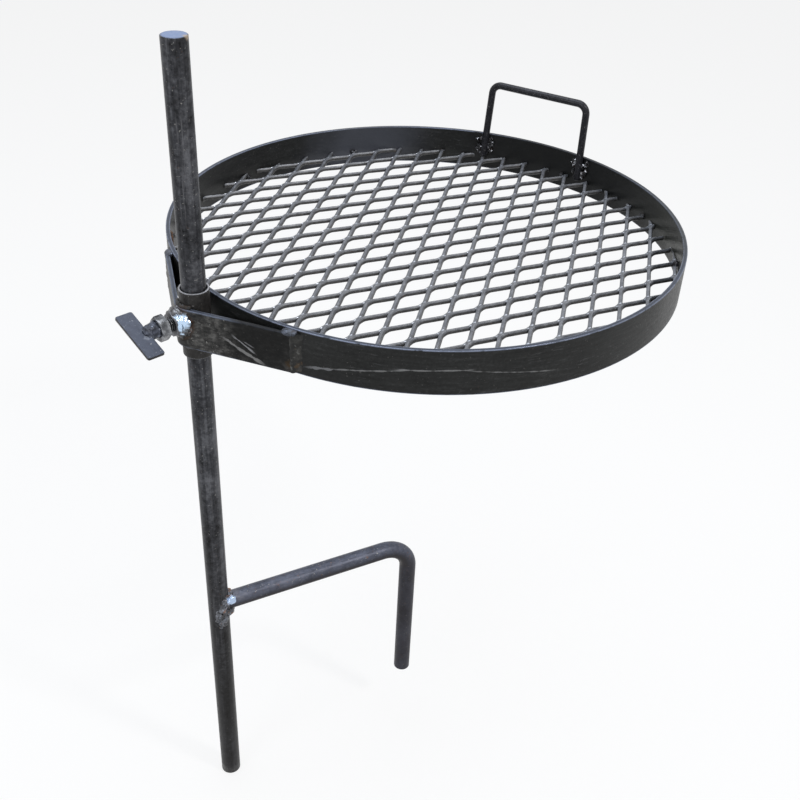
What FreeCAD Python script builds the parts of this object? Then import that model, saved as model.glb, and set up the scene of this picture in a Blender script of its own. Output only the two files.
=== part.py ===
import FreeCAD, Part
import math
import os

from FreeCAD import Base

# Swivelling fire-pit grill on a ground stake, in millimetres, +Z up.
# The origin is on the stake's axis at ground level, and +X runs to the middle of the cooking ring.
# The anchor leg lies on the ground, and its prong goes into it.

Vector = Base.Vector

# Stake: a solid round bar driven into the ground
stake_diameter = 25.4
stake_length = 1016.0
stake_depth = 310.7
stake_edge_break = 1.0

# Anchor leg: a round bar bent once, welded to the stake just above the ground
leg_diameter = 22.225
leg_reach = 267.2
leg_bend_radius = 28.0
leg_depth = 228.0
leg_heading = -15.2
leg_edge_break = 1.2
leg_weld_throat = 4.6
leg_weld_toe = 2.0
leg_weld_feather = 0.6

# Cooking ring: flat bar rolled on edge
ring_diameter = 609.6
ring_height = 50.8
ring_wall = 4.76
ring_top = 442.7
ring_seam_angle = 149.0

# Sleeve: tube that slides and turns on the stake
sleeve_diameter = 31.75
sleeve_wall = 2.1
sleeve_length = 76.2
sleeve_ring_gap = 4.8

# Strap: flat bar bent round the sleeve, its legs ending just short of where they would touch the ring
strap_wall = 4.76
strap_height = 44.45
strap_end_short = 33.0
strap_bridge_length = 13.0
strap_bridge_depth = 5.0
strap_bridge_rise = 2.2
strap_bridge_setback = 1.0
strap_bridge_reach = 5.0
strap_bridge_cover = 3.4

# Grate: raised expanded metal cut round to drop into the ring
grate_long_pitch = 70.7
grate_short_pitch = 33.0
grate_bond_length = 12.0
grate_bond_width = 11.2
grate_thickness = 5.0
grate_rake = 2.4
grate_heading = 10.7
grate_shift_long = 12.9
grate_shift_short = -7.9
grate_lift = 14.0
grate_edge_gap = 1.2
tack_count = 12
tack_radius = 6.0
tack_crown_radius = 3.5
tack_rise = 2.6
tack_first_angle = 9.0
tack_search = 30

# Handle: round rod bent to a U and welded inside the ring
handle_rod = 9.5
handle_width = 145.2
handle_height = 72.4
handle_lap = 31.0
handle_bend_radius = 13.0
handle_heading = 16.2
handle_lean = 6.5
handle_bead_radius = 3.6
handle_bead_inset = 1.4
handle_bead_length = 21.0
handle_bead_drop = 8.0

# Clamp: nut welded on the strap's nose, short bolt with a flat bar welded across its head
bolt_diameter = 15.875
bolt_rise = 5.2
bolt_tip_chamfer = 1.4
bolt_tip_gap = 0.1
bolt_hole_clearance = 0.4
thread_clearance = 0.08
nut_across_flats = 23.8
nut_height = 9.5
nut_bead = 3.2
nut_bead_crown = 1.0
nut_bead_cover = 0.82
hexagon_bevel = 1.6
head_height = 9.9
head_standoff = 6.5
t_bar_length = 63.5
t_bar_width = 19.05
t_bar_thickness = 3.2
t_bar_corner = 2.2
t_bar_roll = 17.8
t_bar_offset = 9.4
t_bar_bead_radius = 11.4
t_bar_bead_waist = 8.2
t_bar_bead_lap = 3.0

# Weld beads
end_bead_radius = 4.8
end_bead_short = 3.0
sleeve_bead_leg = 4.0
sleeve_bead_half_angle = 34.0
seam_bead_radius = 3.2
seam_bead_short = 3.0

# Fits
swivel_clearance = 0.05
far = 2000.0
tolerance = 1e-6

# Derived places
stake_radius = stake_diameter / 2
leg_radius = leg_diameter / 2
leg_axis_height = leg_radius
ring_radius = ring_diameter / 2
ring_inner_radius = ring_radius - ring_wall
ring_bottom = ring_top - ring_height
ring_middle = ring_top - ring_height / 2
strap_bottom = ring_middle - strap_height / 2
strap_top = ring_middle + strap_height / 2
bolt_height = ring_middle + bolt_rise
sleeve_radius = sleeve_diameter / 2
sleeve_bore_radius = sleeve_radius - sleeve_wall
sleeve_bottom = ring_middle - sleeve_length / 2
ring_offset = ring_radius + sleeve_ring_gap + sleeve_radius
ring_centre = Vector(ring_offset, 0, 0)
nose_radius = sleeve_radius + strap_wall
strap_angle = 180 - math.degrees(math.acos((ring_radius - sleeve_radius) / ring_offset))
grate_bottom = ring_bottom + grate_lift
grate_top = grate_bottom + grate_thickness
grate_radius = ring_inner_radius - grate_edge_gap - grate_rake / 2
bolt_radius = bolt_diameter / 2
nut_outer_face = nose_radius + nut_height
head_inner_face = nut_outer_face + head_standoff
head_outer_face = head_inner_face + head_height
t_bar_inner_edge = head_outer_face + t_bar_offset

up = Vector(0, 0, 1)
outward = Vector(-1, 0, 0)


def polar(radius, degrees, height=0.0):
    angle = math.radians(degrees)
    return Vector(radius * math.cos(angle), radius * math.sin(angle), height)


def rod(radius, start, direction, length):
    return Part.makeCylinder(radius, length, start, direction)


def hoop(outer_radius, inner_radius, base, height):
    outside = Part.makeCylinder(outer_radius, height, base)
    return outside.cut(Part.makeCylinder(inner_radius, height, base))


def hexagon_prism(across_flats, start, direction, height, corner_bevel):
    """A nut or bolt head blank, its corners bevelled at the far face."""
    circumradius = across_flats / math.sqrt(3)
    corners = [polar(circumradius, 60 * i) for i in range(7)]
    blank = Part.Face(Part.makePolygon(corners)).extrude(Vector(0, 0, height))
    flare = height / math.tan(math.radians(30))
    trim = Part.makeCone(circumradius - corner_bevel + flare, circumradius - corner_bevel, height)
    blank = blank.common(trim)
    blank.Placement = Base.Placement(start, Base.Rotation(up, direction))
    return blank


def swept(section_radius, path):
    """A round bar along a wire of straight runs and tangent arcs."""
    start = path.Edges[0].Vertexes[0].Point
    tangent = path.Edges[0].tangentAt(path.Edges[0].FirstParameter)
    section = Part.Wire(Part.makeCircle(section_radius, start, tangent))
    return path.makePipeShell([section], True, True)


def filleted_path(points, radius):
    """Straight runs through the points, joined by tangent arcs of one radius."""
    edges = []
    cursor = points[0]
    for before, corner, after in zip(points, points[1:], points[2:]):
        into = (corner - before).normalize()
        out = (after - corner).normalize()
        half_turn = into.getAngle(out) / 2
        setback = radius * math.tan(half_turn)
        start = corner - into * setback
        end = corner + out * setback
        inner = (out - into).normalize()
        middle = corner + inner * (radius / math.cos(half_turn) - radius)
        edges.append(Part.makeLine(cursor, start))
        edges.append(Part.Arc(start, middle, end).toShape())
        cursor = end
    edges.append(Part.makeLine(cursor, points[-1]))
    return Part.Wire(edges)


def bevelled_bar(radius, start, direction, length, edge_break):
    bar = rod(radius, start, direction, length)
    ends = [e for e in bar.Edges if isinstance(e.Curve, Part.Circle)]
    return bar.makeChamfer(edge_break, ends)


def make_stake():
    foot = Vector(0, 0, -stake_depth)
    return bevelled_bar(stake_radius, foot, up, stake_length, stake_edge_break)


def make_leg():
    along = polar(1, leg_heading)
    root = Vector(0, 0, leg_axis_height)
    corner = root + along * leg_reach
    tip = corner - up * (leg_depth + leg_axis_height)
    bar = swept(leg_radius, filleted_path([root, corner, tip], leg_bend_radius))
    tip_edge = min(bar.Edges, key=lambda e: e.CenterOfMass.z)
    bar = bar.makeChamfer(leg_edge_break, [tip_edge])
    notch = rod(stake_radius + swivel_clearance, root - up * far / 2, up, far)
    return bar.cut(notch)


def make_leg_weld(leg):
    """A fat fillet round the mitre where the leg meets the stake."""
    along = polar(1, leg_heading)
    face = Vector(0, 0, leg_axis_height) + along * (stake_radius / 2)
    root_radius = leg_radius + leg_weld_throat
    bead_length = stake_radius / 2 + leg_weld_throat + leg_weld_toe
    bead = Part.makeCone(root_radius, leg_radius + leg_weld_feather, bead_length, face, along)
    notch = rod(stake_radius + swivel_clearance, Vector(0, 0, -far / 2), up, far)
    return bead.cut(notch).cut(leg)


def make_sleeve():
    sleeve = hoop(sleeve_radius, sleeve_bore_radius, Vector(0, 0, sleeve_bottom), sleeve_length)
    return sleeve.cut(bolt_passage())


def bolt_passage():
    start = Vector(0, 0, bolt_height)
    return rod(bolt_radius + bolt_hole_clearance, start, outward, nose_radius + nut_height)


def strap_leg(sign):
    """The direction of one leg of the strap, from the sleeve to the ring."""
    return polar(1, sign * (strap_angle - 90))


def strap_end(sign, offset, height=0.0):
    """The end of one leg, at an offset from the leg's inner face."""
    touch = ring_centre + polar(ring_radius + offset, sign * strap_angle, height)
    return touch - strap_leg(sign) * strap_end_short


def strap_outline(offset):
    """The strap's face on one side: straight leg, round the nose and back."""
    near = sleeve_radius + offset
    seats = {sign: polar(near, sign * strap_angle) for sign in (1, -1)}
    tips = {sign: strap_end(sign, offset) for sign in (1, -1)}
    return [Part.makeLine(tips[1], seats[1]),
            Part.Arc(seats[1], Vector(-near, 0, 0), seats[-1]).toShape(),
            Part.makeLine(seats[-1], tips[-1])]


def make_strap():
    inner = strap_outline(0)
    outer = strap_outline(strap_wall)
    start_cap = Part.makeLine(outer[0].firstVertex().Point, inner[0].firstVertex().Point)
    end_cap = Part.makeLine(inner[2].lastVertex().Point, outer[2].lastVertex().Point)
    reverse_outer = [e.copy() for e in reversed(outer)]
    outline = Part.Wire(Part.__sortEdges__([start_cap] + inner + [end_cap] + reverse_outer))
    strap = Part.Face(outline).extrude(Vector(0, 0, strap_height))
    strap.translate(Vector(0, 0, strap_bottom))
    return strap.cut(bolt_passage())


def make_ring():
    return hoop(ring_radius, ring_inner_radius, Vector(ring_offset, 0, ring_bottom), ring_height)


def make_ring_seam():
    """The bead inside the ring, above the grate, where the ring's two ends were closed."""
    seat = ring_centre + polar(ring_inner_radius, ring_seam_angle, grate_top + seam_bead_short)
    bead = rod(seam_bead_radius, seat, up, ring_top - grate_top - 2 * seam_bead_short)
    return bead.cut(make_ring_wall())


def make_ring_wall():
    """The ring's metal with everything outside it, for trimming beads to its inner face."""
    return hoop(ring_radius + far, ring_inner_radius, Vector(ring_offset, 0, -far), 3 * far)


def opening_corners(column, row):
    """One long six-sided opening of the expanded sheet, in the sheet's own directions."""
    half_long = (grate_long_pitch - grate_bond_length) / 2
    half_flat = grate_bond_length / 2
    half_open = (grate_short_pitch - grate_bond_width) / 2
    x = grate_shift_long + column * grate_long_pitch / 2
    y = grate_shift_short + row * grate_short_pitch / 2
    corners = [(half_long, 0), (half_flat, half_open), (-half_flat, half_open),
               (-half_long, 0), (-half_flat, -half_open), (half_flat, -half_open)]
    return [Vector(x + dx, y + dy, 0) for dx, dy in corners]


def grate_disc():
    return Part.Face(Part.Wire(Part.makeCircle(grate_radius)))


def grate_face():
    """The round sheet with its openings, flat, centred on the origin."""
    reach = grate_radius + grate_long_pitch
    columns = int(reach / (grate_long_pitch / 2)) + 1
    rows = int(reach / (grate_short_pitch / 2)) + 1
    openings = []
    for column in range(-columns, columns + 1):
        for row in range(-rows, rows + 1):
            if (column + row) % 2:
                continue
            corners = opening_corners(column, row)
            if min(c.Length for c in corners) < grate_radius:
                openings.append(Part.Face(Part.makePolygon(corners + corners[:1])))
    pierced = grate_disc().cut(Part.makeCompound(openings))
    return max(pierced.Faces, key=lambda face: face.Area)


def raked(face):
    """A flat face made into a sheet in the ring, leaning along the short way as stretching leaves it."""
    across = polar(1, 90)
    sheet = face.extrude(up * grate_thickness + across * grate_rake)
    sheet.translate(across * (-grate_rake / 2))
    sheet.rotate(Vector(0, 0, 0), up, grate_heading)
    sheet.translate(Vector(ring_offset, 0, grate_bottom))
    return sheet


def tack_angle(face, wanted):
    """The heading nearest to the wanted one at which a strand reaches the sheet's edge."""
    for step in range(tack_search):
        for sign in (1, -1):
            trial = wanted + sign * step
            rim = polar(grate_radius - grate_edge_gap, trial - grate_heading)
            if face.isInside(rim, tolerance, True):
                return trial
    return wanted


def make_tacks(face):
    """Beads that fill the gap from the ends of the strands to the ring, and rise over the strands."""
    height = grate_thickness + tack_rise
    drops = []
    for i in range(tack_count):
        angle = tack_angle(face, tack_first_angle + i * 360 / tack_count)
        seat = ring_centre + polar(grate_radius, angle, grate_bottom)
        drops.append(Part.makeCone(tack_radius, tack_crown_radius, height, seat))
    return Part.makeCompound(drops).cut(make_ring_wall()).cut(raked(grate_disc()))


def handle_feet():
    """The handle's two leg axes: feet inside the ring, tops at the grip's height."""
    rod_radius = handle_rod / 2
    seat_radius = ring_inner_radius - rod_radius
    half = handle_width / 2
    chord = math.sqrt(seat_radius ** 2 - half ** 2)
    low = ring_top - handle_lap
    high = ring_top + handle_height
    points = [(half, low), (half - handle_lean, high), (-half, high), (-half, low)]
    turn = Base.Rotation(up, handle_heading)
    return [ring_centre + turn.multVec(Vector(chord, y, z)) for y, z in points]


def make_handle():
    return swept(handle_rod / 2, filleted_path(handle_feet(), handle_bend_radius))


def make_handle_weld(foot, top, handle):
    """A bead down each side of one leg, in the corner between the rod and the ring."""
    along = (top - foot).normalize()
    radial = Vector(foot.x - ring_offset, foot.y, 0).normalize()
    aside = radial.cross(along).normalize() * (handle_rod / 2)
    start = foot + along * (handle_lap - handle_bead_drop - handle_bead_length)
    start = start + radial * (handle_rod / 2 - handle_bead_inset)
    beads = [rod(handle_bead_radius, start + aside * side, along, handle_bead_length)
             for side in (1, -1)]
    return Part.makeCompound([b.cut(make_ring_wall()).cut(handle) for b in beads])


def make_end_weld(sign, strap):
    """A vertical fillet that closes one end of the strap onto the ring."""
    seat = strap_end(sign, 0, strap_bottom + end_bead_short / 2)
    bead = rod(end_bead_radius, seat, up, strap_height - end_bead_short)
    core = Part.makeCylinder(ring_radius, ring_height, Vector(ring_offset, 0, ring_bottom))
    bead = bead.cut(core).cut(strap)
    return max(bead.Solids, key=lambda solid: solid.Volume)


def make_bridge(sign, strap, end_weld):
    """The short top weld that closes the wedge between one leg of the strap and the ring."""
    back = strap_leg(sign) * -strap_bridge_length
    across = polar(strap_bridge_reach + strap_bridge_cover, sign * strap_angle)
    start = strap_end(sign, -strap_bridge_reach, strap_top - strap_bridge_depth)
    start = start - strap_leg(sign) * strap_bridge_setback
    corners = [start, start + back, start + back + across, start + across]
    height = strap_bridge_depth + strap_bridge_rise
    block = Part.Face(Part.makePolygon(corners + corners[:1])).extrude(up * height)
    core = Part.makeCylinder(ring_radius, ring_height, Vector(ring_offset, 0, ring_bottom))
    block = block.cut(core).cut(strap).cut(end_weld)
    return max(block.Solids, key=lambda solid: solid.Volume)


def make_sleeve_weld(height, direction):
    """A fillet between the sleeve and the strap's edge, round the nose."""
    corners = [Vector(-sleeve_radius, 0, 0), Vector(-sleeve_radius - sleeve_bead_leg, 0, 0),
               Vector(-sleeve_radius, 0, direction * sleeve_bead_leg)]
    section = Part.Face(Part.makePolygon(corners + corners[:1]))
    section.rotate(Vector(0, 0, 0), up, -sleeve_bead_half_angle)
    bead = section.revolve(Vector(0, 0, 0), up, 2 * sleeve_bead_half_angle)
    bead.translate(Vector(0, 0, height))
    return bead


def along_bolt(distance):
    return Vector(-distance, 0, bolt_height)


def make_nut():
    seat = along_bolt(nose_radius)
    nut = hexagon_prism(nut_across_flats, seat, outward, nut_height, hexagon_bevel)
    bore = rod(bolt_radius + thread_clearance, along_bolt(0), outward, far)
    return nut.cut(bore)


def make_nut_weld(nut, strap):
    """The heavy fillet that buries the nut's foot on the strap's nose."""
    foot = nut_across_flats / math.sqrt(3) + nut_bead
    wrap = nose_radius - sleeve_radius + strap_wall
    base = rod(foot, along_bolt(nose_radius - wrap), outward, wrap)
    crown_radius = nut_across_flats / 2 + nut_bead_crown
    cover = nut_height * nut_bead_cover
    crown = Part.makeCone(foot, crown_radius, cover, along_bolt(nose_radius), outward)
    bead = base.fuse(crown).removeSplitter()
    nose = rod(nose_radius, Vector(0, 0, ring_bottom), up, ring_height)
    bore = rod(bolt_radius + bolt_hole_clearance, along_bolt(0), outward, far)
    bead = bead.cut(nose).cut(strap).cut(nut).cut(bore)
    return max(bead.Solids, key=lambda solid: solid.Volume)


def make_shank():
    start = stake_radius + bolt_tip_gap
    shank = rod(bolt_radius, along_bolt(start), outward, head_inner_face - start)
    tip = max(shank.Edges, key=lambda e: e.CenterOfMass.x)
    return shank.makeChamfer(bolt_tip_chamfer, [tip])


def make_head():
    seat = along_bolt(head_inner_face)
    return hexagon_prism(nut_across_flats, seat, outward, head_height, hexagon_bevel)


def make_t_bar():
    half = t_bar_length / 2
    bar = Part.makeBox(t_bar_width, t_bar_length, t_bar_thickness,
                       Vector(-t_bar_inner_edge - t_bar_width, -half, -t_bar_thickness / 2))
    corners = [e for e in bar.Edges if e.tangentAt(e.FirstParameter).cross(up).Length < tolerance]
    bar = bar.makeFillet(t_bar_corner, corners)
    bar.rotate(Vector(0, 0, 0), outward, -t_bar_roll)
    bar.translate(Vector(0, 0, bolt_height))
    return bar


def make_t_bar_weld(bar):
    """The round build-up of weld between the bolt's head and the bar."""
    length = t_bar_offset + t_bar_bead_lap
    start = along_bolt(head_outer_face)
    bead = Part.makeCone(t_bar_bead_radius, t_bar_bead_waist, length, start, outward)
    return bead.cut(bar)


def export(shape, name):
    shape.exportStep(os.path.join("parts", name + ".step"))


def main():
    os.makedirs("parts", exist_ok=True)
    leg = make_leg()
    strap = make_strap()
    face = grate_face()
    handle = make_handle()
    nut = make_nut()
    t_bar = make_t_bar()
    end_welds = {sign: make_end_weld(sign, strap) for sign in (1, -1)}
    left_foot, left_top, right_top, right_foot = handle_feet()
    pieces = {
        "stake": make_stake(),
        "anchor_leg": leg,
        "anchor_leg_weld": make_leg_weld(leg),
        "sleeve": make_sleeve(),
        "yoke_strap": strap,
        "ring": make_ring(),
        "ring_seam_weld": make_ring_seam(),
        "grate": raked(face),
        "grate_tack_welds": make_tacks(face),
        "handle": handle,
        "handle_weld_left": make_handle_weld(left_foot, left_top, handle),
        "handle_weld_right": make_handle_weld(right_foot, right_top, handle),
        "strap_end_weld_left": end_welds[1],
        "strap_end_weld_right": end_welds[-1],
        "strap_top_weld_left": make_bridge(1, strap, end_welds[1]),
        "strap_top_weld_right": make_bridge(-1, strap, end_welds[-1]),
        "sleeve_weld_upper": make_sleeve_weld(strap_top, 1),
        "sleeve_weld_lower": make_sleeve_weld(strap_bottom, -1),
        "clamp_nut": nut,
        "clamp_nut_weld": make_nut_weld(nut, strap),
        "clamp_bolt_shank": make_shank(),
        "clamp_bolt_head": make_head(),
        "t_bar": t_bar,
        "t_bar_weld": make_t_bar_weld(t_bar),
    }
    for name, shape in pieces.items():
        export(shape, name)
        print(f"{name:24s} {shape.Volume / 1000:9.2f} cm3  {len(shape.Solids)} solid(s)")


main()
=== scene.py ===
import random
from math import acos, copysign, cos, degrees, pi, radians, sin, sqrt, tan

import bmesh
import bpy
from mathutils import Matrix, Vector, noise


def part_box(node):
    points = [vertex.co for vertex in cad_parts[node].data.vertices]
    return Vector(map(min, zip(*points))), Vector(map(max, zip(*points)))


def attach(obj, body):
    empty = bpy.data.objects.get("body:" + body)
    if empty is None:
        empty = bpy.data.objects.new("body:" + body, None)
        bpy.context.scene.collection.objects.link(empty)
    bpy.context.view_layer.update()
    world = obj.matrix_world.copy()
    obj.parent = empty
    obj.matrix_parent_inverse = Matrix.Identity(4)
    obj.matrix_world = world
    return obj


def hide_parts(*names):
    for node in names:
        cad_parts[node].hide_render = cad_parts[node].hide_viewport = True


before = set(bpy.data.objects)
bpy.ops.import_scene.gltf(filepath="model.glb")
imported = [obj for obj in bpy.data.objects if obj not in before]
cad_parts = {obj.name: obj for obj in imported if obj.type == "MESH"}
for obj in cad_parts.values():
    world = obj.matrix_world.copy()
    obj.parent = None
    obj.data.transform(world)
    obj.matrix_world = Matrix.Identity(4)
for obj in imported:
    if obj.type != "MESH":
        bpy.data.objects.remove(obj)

mm = 0.001
up = Vector((0, 0, 1))
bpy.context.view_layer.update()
print("frame loaded with", len(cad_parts), "nodes")


# Places taken from the frame

def nodeBox(node):
    low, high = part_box(node)
    return Vector(low), Vector(high)


stakeLow, stakeHigh = nodeBox("stake")
ringLow, ringHigh = nodeBox("ring")
sleeveLow, sleeveHigh = nodeBox("sleeve")
grateLow, grateHigh = nodeBox("grate")
nutLow, nutHigh = nodeBox("clamp_nut")
headLow, headHigh = nodeBox("clamp_bolt_head")
shankLow, shankHigh = nodeBox("clamp_bolt_shank")
strapBottom, strapTop = [corner.z for corner in nodeBox("yoke_strap")]
legTip = nodeBox("anchor_leg")[0].z
stakeRadius = (stakeHigh.x - stakeLow.x) / 2
sleeveRadius = (sleeveHigh.y - sleeveLow.y) / 2
ringRadius = (ringHigh.y - ringLow.y) / 2
ringCentre = Vector((ringHigh.x - ringRadius, 0, 0))
ringTop, ringBottom = ringHigh.z, ringLow.z
ringMiddle = (ringTop + ringBottom) / 2
boltHeight = (nutLow.z + nutHigh.z) / 2


# Shader maths

class Wire:
    # one value on its way through a tree's nodes
    def __init__(self, finish, socket):
        self.finish = finish
        self.socket = socket

    def maths(self, operation, *values):
        return self.finish.add("ShaderNodeMath", {"operation": operation}, dict(enumerate(values)))

    def __add__(self, other):
        return self.maths("ADD", self, other)

    def __radd__(self, other):
        return self.maths("ADD", other, self)

    def __sub__(self, other):
        return self.maths("SUBTRACT", self, other)

    def __rsub__(self, other):
        return self.maths("SUBTRACT", other, self)

    def __mul__(self, other):
        return self.maths("MULTIPLY", self, other)

    def __rmul__(self, other):
        return self.maths("MULTIPLY", other, self)

    def __abs__(self):
        return self.maths("ABSOLUTE", self)


class Finish:
    # a material, or the world, built node by node
    def __init__(self, name, home=bpy.data.materials):
        self.owner = home.new(name)
        self.owner.use_nodes = True
        self.nodes = self.owner.node_tree.nodes
        self.links = self.owner.node_tree.links
        self.place = self.add("ShaderNodeTexCoord", {}, {}, "Object")

    def add(self, kind, settings, inputs, output=0):
        node = self.nodes.new(kind)
        for key, value in settings.items():
            if key == "stops":
                stops = node.color_ramp.elements
                for index, (position, tone) in enumerate(value):
                    stop = stops[index] if index < len(stops) else stops.new(position)
                    stop.position = position
                    stop.color = (*tone, 1)
            else:
                setattr(node, key, value)
        for key, value in inputs.items():
            self.feed(node.inputs[key], value)
        return Wire(self, node.outputs[output])

    def feed(self, socket, value):
        if isinstance(value, Wire):
            self.links.new(value.socket, socket)
        elif isinstance(value, tuple) and socket.type == "RGBA":
            socket.default_value = (*value, 1)
        else:
            socket.default_value = value

    def stretched(self, scale):
        return self.add("ShaderNodeMapping", {}, {"Vector": self.place, "Scale": scale})

    def cloud(self, size, detail, rough, where=None, shift=0.0):
        # noise with blobs of about the given size, a shift picks another pattern
        where = where or self.place
        if shift:
            where = self.add("ShaderNodeMapping", {}, {"Vector": where, "Location": (shift, shift, shift)})
        inputs = {"Vector": where, "Scale": 1 / size, "Detail": detail, "Roughness": rough}
        return self.add("ShaderNodeTexNoise", {}, inputs)

    def between(self, value, low, high):
        # rises smoothly from 0 at low to 1 at high
        settings = {"clamp": True, "interpolation_type": "SMOOTHSTEP"}
        return self.add("ShaderNodeMapRange", settings, {"Value": value, "From Min": low, "From Max": high})

    def above(self, value, start, span):
        return self.between(value, start, start + span)

    def ramp(self, value, stops):
        return self.add("ShaderNodeValToRGB", {"stops": stops}, {"Fac": value})

    def mix(self, base, over, mask):
        return self.add("ShaderNodeMix", {"data_type": "RGBA"}, {0: mask, 6: base, 7: over}, 2)

    def axis(self, name):
        return self.add("ShaderNodeSeparateXYZ", {}, {"Vector": self.place}, name)

    def facing(self, name):
        # which way the surface looks, in the piece's own directions
        normal = self.add("ShaderNodeTexCoord", {}, {}, "Normal")
        return self.add("ShaderNodeSeparateXYZ", {}, {"Vector": normal}, name)

    def mark(self, name):
        return self.add("ShaderNodeAttribute", {"attribute_name": name}, {}, "Fac")

    def vector(self, operation, other):
        return self.add("ShaderNodeVectorMath", {"operation": operation}, {0: self.place, 1: other}, "Value")

    def spot(self, place, rim):
        # a round mark, its rim moved in and out by a noise
        near = self.vector("DISTANCE", place["at"]) + (rim - 0.5) * place["ragged"]
        return 1 - self.between(near, place["inner"], place["outer"])

    def scratch(self, way, base, start, end, rise, slope, wander, width, fade, seed):
        # a thin ragged line on the -Y side: lengths in mm, along a way and up from a base height
        along = self.vector("DOT_PRODUCT", way)
        start, end, fade = start * mm, end * mm, fade * mm
        centre = base + rise * mm + (along - start) * slope
        wander = (self.cloud(30 * mm, 3, 0.5, shift=seed) - 0.5) * (wander * mm)
        width = width * mm * self.between(self.cloud(12 * mm, 4, 0.6, shift=seed + 1), 0.3, 0.65)
        away = abs(self.axis("Z") - centre - wander)
        inside = 1 - self.between(away - width, -0.4 * mm, 0.4 * mm)
        run = self.above(along, start, fade) * (1 - self.between(along, end - fade, end))
        return inside * run * (1 - self.between(self.axis("Y"), -12 * mm, -6 * mm))

    def wear(self, colour, roughness, metallic, height, look):
        # joins everything to the shader; the height only tilts the surface
        bump = self.add("ShaderNodeBump", {}, {"Height": height, "Distance": look["bump"], "Strength": 1.0})
        inputs = self.nodes["Principled BSDF"].inputs
        for name, value in (("Base Color", colour), ("Roughness", roughness), ("Metallic", metallic),
                            ("Normal", bump), ("Specular IOR Level", look["level"])):
            self.feed(inputs[name], value)
        return self.owner


# Finishes: each mask has a strength and a tone of its own name in the look

def millScale(name, look):
    # hot-rolled steel: dark oxide in fine streaks, scuffed pale here and there, its edges rubbed, where a
    # pale edge tone is also a painted highlight
    f = Finish(name)
    along = f.stretched(look["grain"])
    streak = f.cloud(look["streakSize"], 6, 0.65, along)
    patch = f.cloud(look["patchSize"], 3, 0.5, shift=0.7)
    mottle = f.cloud(look["mottleSize"], 5, 0.7, shift=8.8)
    colour = f.ramp(streak * 0.42 + patch * 0.23 + mottle * 0.35, look["tones"])
    scuff = f.above(f.cloud(look["scuffSize"], 5, 0.72, along, 1.9), look["scuffFrom"], 0.12)
    scuff = scuff * f.between(f.cloud(look["patchSize"] * 0.8, 2, 0.5, shift=6.6), 0.42, 0.62)
    # the top mark paints a sky reflection: top faces take the paler, bluer top tone
    top = f.mark("top")
    # edge mask: rubbed wear on the edges; on the ring, strap and sleeve its pale tone is also a painted
    # highlight
    rubbedAndHighlit = f.mark("edge") * f.above(f.cloud(look["rubSize"], 4, 0.6, shift=2.2), look["edgeFrom"], 0.22)
    masks = {
        "scuff": scuff,
        "fleck": f.above(f.cloud(look["fleckSize"], 2, 0.5, shift=3.1), 0.68, 0.05),
        "rust": f.above(f.cloud(look["rustSize"], 5, 0.7, shift=5.3), look["rustFrom"], 0.1),
    }
    # painted shade: faces that look down are darkened with the belly tone
    if look["belly"]:
        masks["belly"] = f.between(0 - f.facing("Z"), -0.6, 0.3)
    # darker towards the bottom: fading in below the given height, full 0.45 m lower
    if look["soil"]:
        masks["soil"] = f.between(look["lowDarkHeight"] - f.axis("Z"), 0, 0.45)
    masks.update(top=top, edge=rubbedAndHighlit)
    for key, mask in masks.items():
        colour = f.mix(colour, look[key + "Tone"], mask * look[key])
    for place in look.get("patches", ()):
        mask = f.spot(place, f.cloud(place["outer"] * 0.5, 4, 0.6, shift=7.7))
        colour = f.mix(colour, place["tone"], mask * place["strength"])
    for *line, tone, strength in look.get("scratches", ()):
        colour = f.mix(colour, tone, f.scratch(look["way"], look["base"], *line) * strength)
    grain = streak * 0.3 + f.cloud(look["grainSize"], 3, 0.6, shift=4.4) * 0.3 + mottle * 0.4
    roughness = look["rough"] + (mottle - 0.5) * 0.5 + (patch - 0.5) * 0.2 - rubbedAndHighlit * 0.08
    return f.wear(colour, roughness, look["metal"] + rubbedAndHighlit * 0.2 + top * 0.1, grain, look)


barLook = {
    "grain": (1, 1, 0.05), "streakSize": 3.6 * mm, "patchSize": 50 * mm, "mottleSize": 3.5 * mm,
    "grainSize": 1.6 * mm, "bump": 0.25 * mm, "rough": 0.44, "metal": 0.25, "level": 0.25,
    "tones": [(0.38, (0.014, 0.014, 0.016)), (0.5, (0.042, 0.043, 0.047)), (0.62, (0.09, 0.092, 0.1))],
    "scuff": 0.55, "scuffSize": 2.2 * mm, "scuffFrom": 0.56, "scuffTone": (0.16, 0.16, 0.17),
    "fleck": 0.5, "fleckSize": 2.4 * mm, "fleckTone": (0.34, 0.33, 0.31),
    "rust": 0.2, "rustSize": 5 * mm, "rustFrom": 0.64, "rustTone": (0.16, 0.075, 0.035),
    "edge": 0.6, "rubSize": 12 * mm, "edgeFrom": 0.36, "edgeTone": (0.03, 0.028, 0.028),
    # the top tone is a painted sky reflection on top faces; the belly tone is painted shade on undersides
    "top": 0.0, "topTone": (0.1, 0.11, 0.14), "belly": 0.0, "bellyTone": (0.018, 0.014, 0.012),
    "soil": 0.0, "lowDarkHeight": 0.25, "soilTone": (0.012, 0.011, 0.01),
}


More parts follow.
